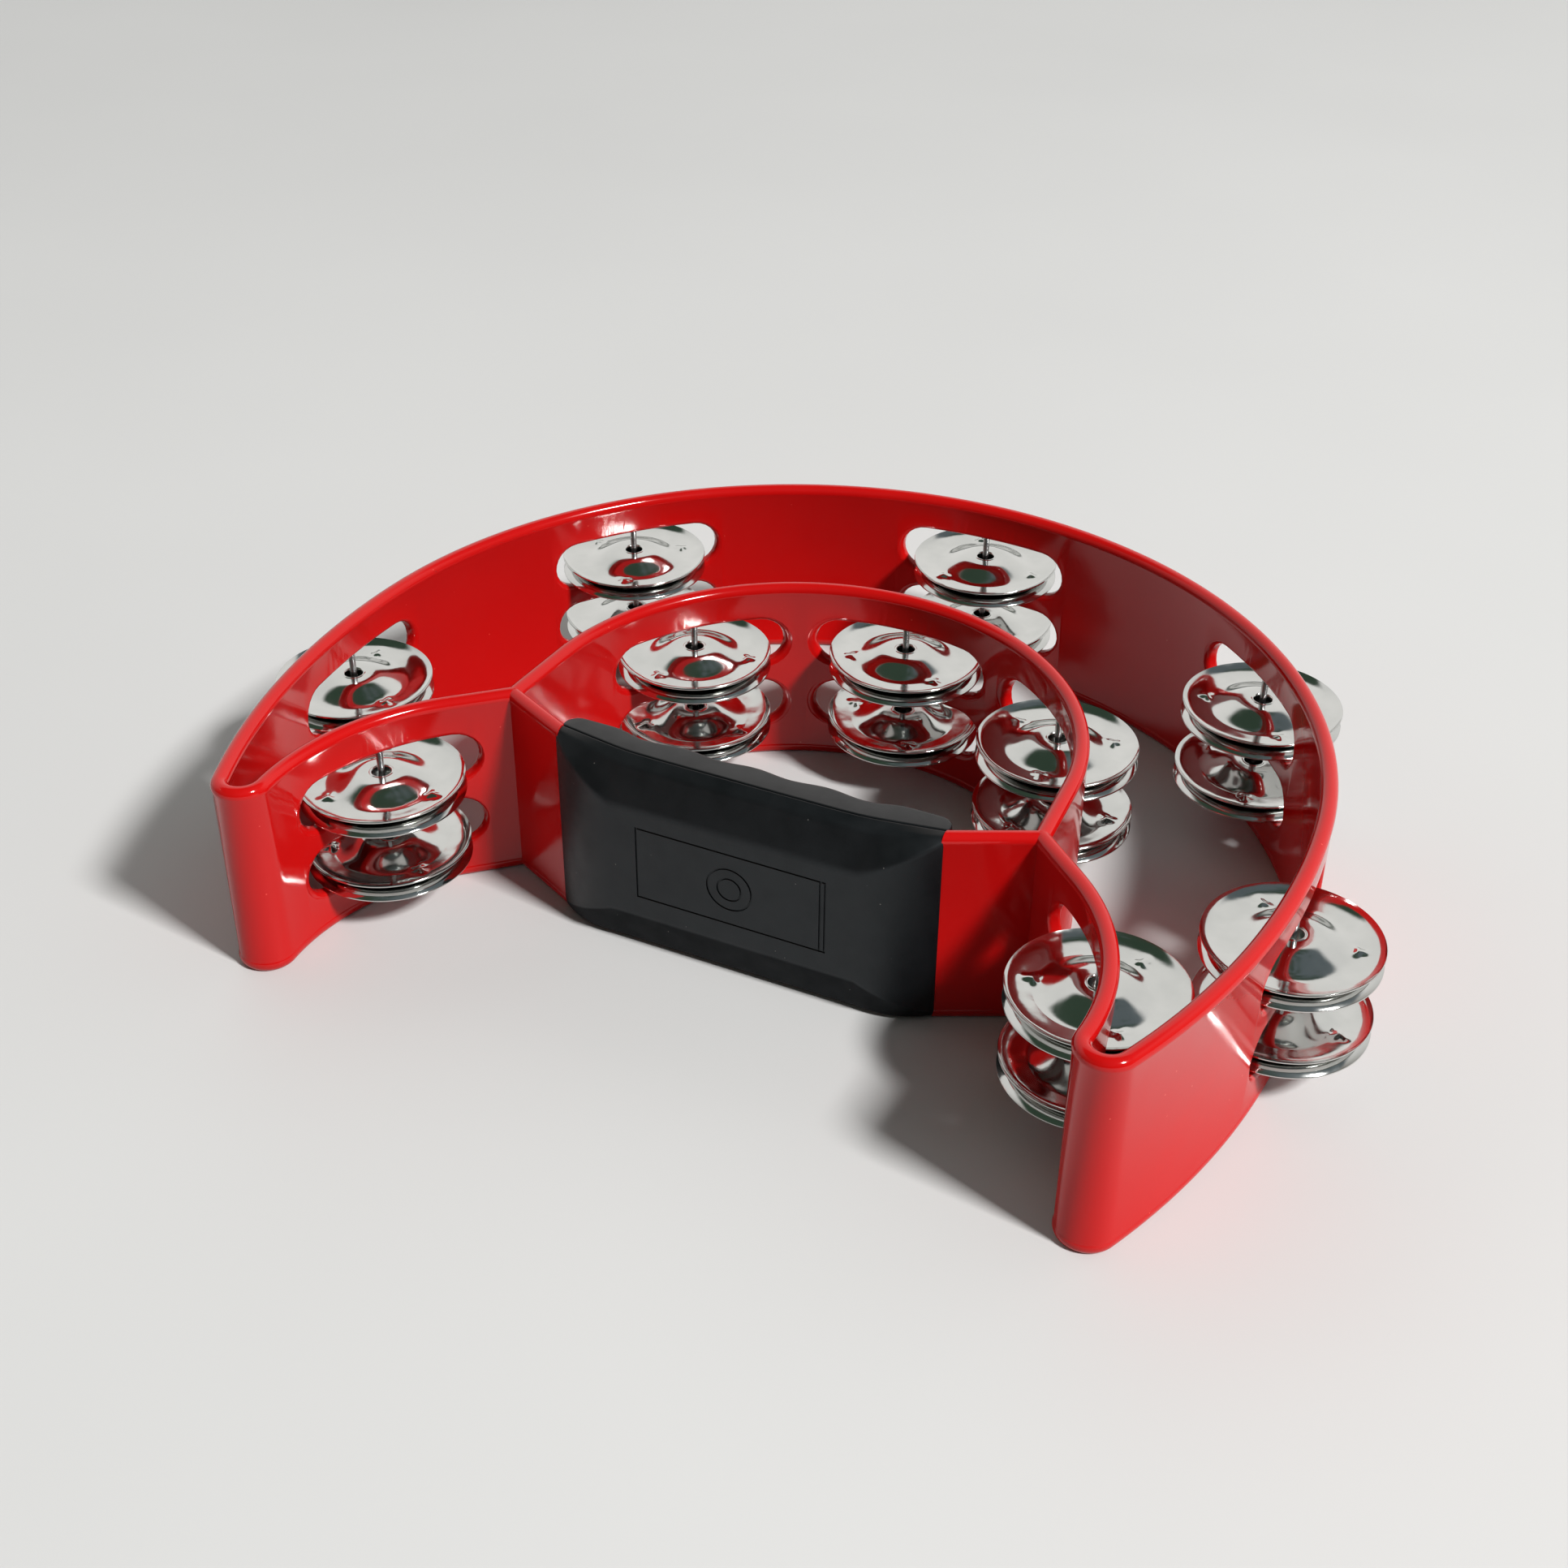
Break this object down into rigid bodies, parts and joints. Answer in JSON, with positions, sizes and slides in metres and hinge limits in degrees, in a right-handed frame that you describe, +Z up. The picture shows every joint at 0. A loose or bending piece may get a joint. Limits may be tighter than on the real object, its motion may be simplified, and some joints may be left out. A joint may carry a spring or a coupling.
{
  "type": "tambourine",
  "caption": "Half-moon hand tambourine: a moulded ring with a D-shaped hand hole and padded grip, and jingle pairs on pins in two rows of slots.",
  "frame": {"origin": "under the middle of the whole tambourine in plan, jingles included, at the height of the resting face", "axes": "+X along the grip, to the right as it is held facing the grip; +Y to the closed back of the ring; +Z up from the resting face"},
  "size_m": [0.2984, 0.2388, 0.054],
  "materials": {
    "red_plastic": "glossy moulded plastic, bright red",
    "grip_rubber": "satin black with a very fine grain",
    "pin_steel": "drawn steel wire",
    "jingle_nickel": "bright nickel plate on steel"
  },
  "bodies": {
    "frame": {"frame": "red_plastic", "grip_front": "grip_rubber", "grip_rear": "grip_rubber", "pin_outer_1": "pin_steel", "pin_outer_2": "pin_steel", "pin_outer_3": "pin_steel", "pin_outer_4": "pin_steel", "pin_outer_5": "pin_steel", "pin_inner_1": "pin_steel", "pin_inner_2": "pin_steel", "pin_inner_3": "pin_steel", "pin_horn_1": "pin_steel", "pin_horn_2": "pin_steel"},
    "jingle_outer_1_b": {"jingle_outer_1_b": "jingle_nickel"},
    "jingle_outer_1_a": {"jingle_outer_1_a": "jingle_nickel"},
    "jingle_outer_1_d": {"jingle_outer_1_d": "jingle_nickel"},
    "jingle_outer_1_c": {"jingle_outer_1_c": "jingle_nickel"},
    "jingle_outer_2_b": {"jingle_outer_2_b": "jingle_nickel"},
    "jingle_outer_2_a": {"jingle_outer_2_a": "jingle_nickel"},
    "jingle_outer_2_d": {"jingle_outer_2_d": "jingle_nickel"},
    "jingle_outer_2_c": {"jingle_outer_2_c": "jingle_nickel"},
    "jingle_outer_3_b": {"jingle_outer_3_b": "jingle_nickel"},
    "jingle_outer_3_a": {"jingle_outer_3_a": "jingle_nickel"},
    "jingle_outer_3_d": {"jingle_outer_3_d": "jingle_nickel"},
    "jingle_outer_3_c": {"jingle_outer_3_c": "jingle_nickel"},
    "jingle_outer_4_b": {"jingle_outer_4_b": "jingle_nickel"},
    "jingle_outer_4_a": {"jingle_outer_4_a": "jingle_nickel"},
    "jingle_outer_4_d": {"jingle_outer_4_d": "jingle_nickel"},
    "jingle_outer_4_c": {"jingle_outer_4_c": "jingle_nickel"},
    "jingle_outer_5_b": {"jingle_outer_5_b": "jingle_nickel"},
    "jingle_outer_5_a": {"jingle_outer_5_a": "jingle_nickel"},
    "jingle_outer_5_d": {"jingle_outer_5_d": "jingle_nickel"},
    "jingle_outer_5_c": {"jingle_outer_5_c": "jingle_nickel"},
    "jingle_inner_1_b": {"jingle_inner_1_b": "jingle_nickel"},
    "jingle_inner_1_a": {"jingle_inner_1_a": "jingle_nickel"},
    "jingle_inner_1_d": {"jingle_inner_1_d": "jingle_nickel"},
    "jingle_inner_1_c": {"jingle_inner_1_c": "jingle_nickel"},
    "jingle_inner_2_b": {"jingle_inner_2_b": "jingle_nickel"},
    "jingle_inner_2_a": {"jingle_inner_2_a": "jingle_nickel"},
    "jingle_inner_2_d": {"jingle_inner_2_d": "jingle_nickel"},
    "jingle_inner_2_c": {"jingle_inner_2_c": "jingle_nickel"},
    "jingle_inner_3_b": {"jingle_inner_3_b": "jingle_nickel"},
    "jingle_inner_3_a": {"jingle_inner_3_a": "jingle_nickel"},
    "jingle_inner_3_d": {"jingle_inner_3_d": "jingle_nickel"},
    "jingle_inner_3_c": {"jingle_inner_3_c": "jingle_nickel"},
    "jingle_horn_1_b": {"jingle_horn_1_b": "jingle_nickel"},
    "jingle_horn_1_a": {"jingle_horn_1_a": "jingle_nickel"},
    "jingle_horn_1_d": {"jingle_horn_1_d": "jingle_nickel"},
    "jingle_horn_1_c": {"jingle_horn_1_c": "jingle_nickel"},
    "jingle_horn_2_b": {"jingle_horn_2_b": "jingle_nickel"},
    "jingle_horn_2_a": {"jingle_horn_2_a": "jingle_nickel"},
    "jingle_horn_2_d": {"jingle_horn_2_d": "jingle_nickel"},
    "jingle_horn_2_c": {"jingle_horn_2_c": "jingle_nickel"}
  },
  "joints": [
    {"name": "outer_1_upper_pair_slide", "type": "slide", "parent": "frame", "child": "jingle_outer_1_b", "axis": [0, 0, 1], "range_m": [0, 0.0028]},
    {"name": "outer_1_upper_clap_slide", "type": "slide", "parent": "jingle_outer_1_b", "child": "jingle_outer_1_a", "axis": [0, 0, 1], "range_m": [0, 0.0028]},
    {"name": "outer_1_lower_pair_slide", "type": "slide", "parent": "frame", "child": "jingle_outer_1_d", "axis": [0, 0, 1], "range_m": [0, 0.0028]},
    {"name": "outer_1_lower_clap_slide", "type": "slide", "parent": "jingle_outer_1_d", "child": "jingle_outer_1_c", "axis": [0, 0, 1], "range_m": [0, 0.0028]},
    {"name": "outer_2_upper_pair_slide", "type": "slide", "parent": "frame", "child": "jingle_outer_2_b", "axis": [0, 0, 1], "range_m": [0, 0.0028]},
    {"name": "outer_2_upper_clap_slide", "type": "slide", "parent": "jingle_outer_2_b", "child": "jingle_outer_2_a", "axis": [0, 0, 1], "range_m": [0, 0.0028]},
    {"name": "outer_2_lower_pair_slide", "type": "slide", "parent": "frame", "child": "jingle_outer_2_d", "axis": [0, 0, 1], "range_m": [0, 0.0028]},
    {"name": "outer_2_lower_clap_slide", "type": "slide", "parent": "jingle_outer_2_d", "child": "jingle_outer_2_c", "axis": [0, 0, 1], "range_m": [0, 0.0028]},
    {"name": "outer_3_upper_pair_slide", "type": "slide", "parent": "frame", "child": "jingle_outer_3_b", "axis": [0, 0, 1], "range_m": [0, 0.0028]},
    {"name": "outer_3_upper_clap_slide", "type": "slide", "parent": "jingle_outer_3_b", "child": "jingle_outer_3_a", "axis": [0, 0, 1], "range_m": [0, 0.0028]},
    {"name": "outer_3_lower_pair_slide", "type": "slide", "parent": "frame", "child": "jingle_outer_3_d", "axis": [0, 0, 1], "range_m": [0, 0.0028]},
    {"name": "outer_3_lower_clap_slide", "type": "slide", "parent": "jingle_outer_3_d", "child": "jingle_outer_3_c", "axis": [0, 0, 1], "range_m": [0, 0.0028]},
    {"name": "outer_4_upper_pair_slide", "type": "slide", "parent": "frame", "child": "jingle_outer_4_b", "axis": [0, 0, 1], "range_m": [0, 0.0028]},
    {"name": "outer_4_upper_clap_slide", "type": "slide", "parent": "jingle_outer_4_b", "child": "jingle_outer_4_a", "axis": [0, 0, 1], "range_m": [0, 0.0028]},
    {"name": "outer_4_lower_pair_slide", "type": "slide", "parent": "frame", "child": "jingle_outer_4_d", "axis": [0, 0, 1], "range_m": [0, 0.0028]},
    {"name": "outer_4_lower_clap_slide", "type": "slide", "parent": "jingle_outer_4_d", "child": "jingle_outer_4_c", "axis": [0, 0, 1], "range_m": [0, 0.0028]},
    {"name": "outer_5_upper_pair_slide", "type": "slide", "parent": "frame", "child": "jingle_outer_5_b", "axis": [0, 0, 1], "range_m": [0, 0.0028]},
    {"name": "outer_5_upper_clap_slide", "type": "slide", "parent": "jingle_outer_5_b", "child": "jingle_outer_5_a", "axis": [0, 0, 1], "range_m": [0, 0.0028]},
    {"name": "outer_5_lower_pair_slide", "type": "slide", "parent": "frame", "child": "jingle_outer_5_d", "axis": [0, 0, 1], "range_m": [0, 0.0028]},
    {"name": "outer_5_lower_clap_slide", "type": "slide", "parent": "jingle_outer_5_d", "child": "jingle_outer_5_c", "axis": [0, 0, 1], "range_m": [0, 0.0028]},
    {"name": "inner_1_upper_pair_slide", "type": "slide", "parent": "frame", "child": "jingle_inner_1_b", "axis": [0, 0, 1], "range_m": [0, 0.0028]},
    {"name": "inner_1_upper_clap_slide", "type": "slide", "parent": "jingle_inner_1_b", "child": "jingle_inner_1_a", "axis": [0, 0, 1], "range_m": [0, 0.0028]},
    {"name": "inner_1_lower_pair_slide", "type": "slide", "parent": "frame", "child": "jingle_inner_1_d", "axis": [0, 0, 1], "range_m": [0, 0.0028]},
    {"name": "inner_1_lower_clap_slide", "type": "slide", "parent": "jingle_inner_1_d", "child": "jingle_inner_1_c", "axis": [0, 0, 1], "range_m": [0, 0.0028]},
    {"name": "inner_2_upper_pair_slide", "type": "slide", "parent": "frame", "child": "jingle_inner_2_b", "axis": [0, 0, 1], "range_m": [0, 0.0028]},
    {"name": "inner_2_upper_clap_slide", "type": "slide", "parent": "jingle_inner_2_b", "child": "jingle_inner_2_a", "axis": [0, 0, 1], "range_m": [0, 0.0028]},
    {"name": "inner_2_lower_pair_slide", "type": "slide", "parent": "frame", "child": "jingle_inner_2_d", "axis": [0, 0, 1], "range_m": [0, 0.0028]},
    {"name": "inner_2_lower_clap_slide", "type": "slide", "parent": "jingle_inner_2_d", "child": "jingle_inner_2_c", "axis": [0, 0, 1], "range_m": [0, 0.0028]},
    {"name": "inner_3_upper_pair_slide", "type": "slide", "parent": "frame", "child": "jingle_inner_3_b", "axis": [0, 0, 1], "range_m": [0, 0.0028]},
    {"name": "inner_3_upper_clap_slide", "type": "slide", "parent": "jingle_inner_3_b", "child": "jingle_inner_3_a", "axis": [0, 0, 1], "range_m": [0, 0.0028]},
    {"name": "inner_3_lower_pair_slide", "type": "slide", "parent": "frame", "child": "jingle_inner_3_d", "axis": [0, 0, 1], "range_m": [0, 0.0028]},
    {"name": "inner_3_lower_clap_slide", "type": "slide", "parent": "jingle_inner_3_d", "child": "jingle_inner_3_c", "axis": [0, 0, 1], "range_m": [0, 0.0028]},
    {"name": "horn_1_upper_pair_slide", "type": "slide", "parent": "frame", "child": "jingle_horn_1_b", "axis": [0, 0, 1], "range_m": [0, 0.0028]},
    {"name": "horn_1_upper_clap_slide", "type": "slide", "parent": "jingle_horn_1_b", "child": "jingle_horn_1_a", "axis": [0, 0, 1], "range_m": [0, 0.0028]},
    {"name": "horn_1_lower_pair_slide", "type": "slide", "parent": "frame", "child": "jingle_horn_1_d", "axis": [0, 0, 1], "range_m": [0, 0.0028]},
    {"name": "horn_1_lower_clap_slide", "type": "slide", "parent": "jingle_horn_1_d", "child": "jingle_horn_1_c", "axis": [0, 0, 1], "range_m": [0, 0.0028]},
    {"name": "horn_2_upper_pair_slide", "type": "slide", "parent": "frame", "child": "jingle_horn_2_b", "axis": [0, 0, 1], "range_m": [0, 0.0028]},
    {"name": "horn_2_upper_clap_slide", "type": "slide", "parent": "jingle_horn_2_b", "child": "jingle_horn_2_a", "axis": [0, 0, 1], "range_m": [0, 0.0028]},
    {"name": "horn_2_lower_pair_slide", "type": "slide", "parent": "frame", "child": "jingle_horn_2_d", "axis": [0, 0, 1], "range_m": [0, 0.0028]},
    {"name": "horn_2_lower_clap_slide", "type": "slide", "parent": "jingle_horn_2_d", "child": "jingle_horn_2_c", "axis": [0, 0, 1], "range_m": [0, 0.0028]}
  ]
}
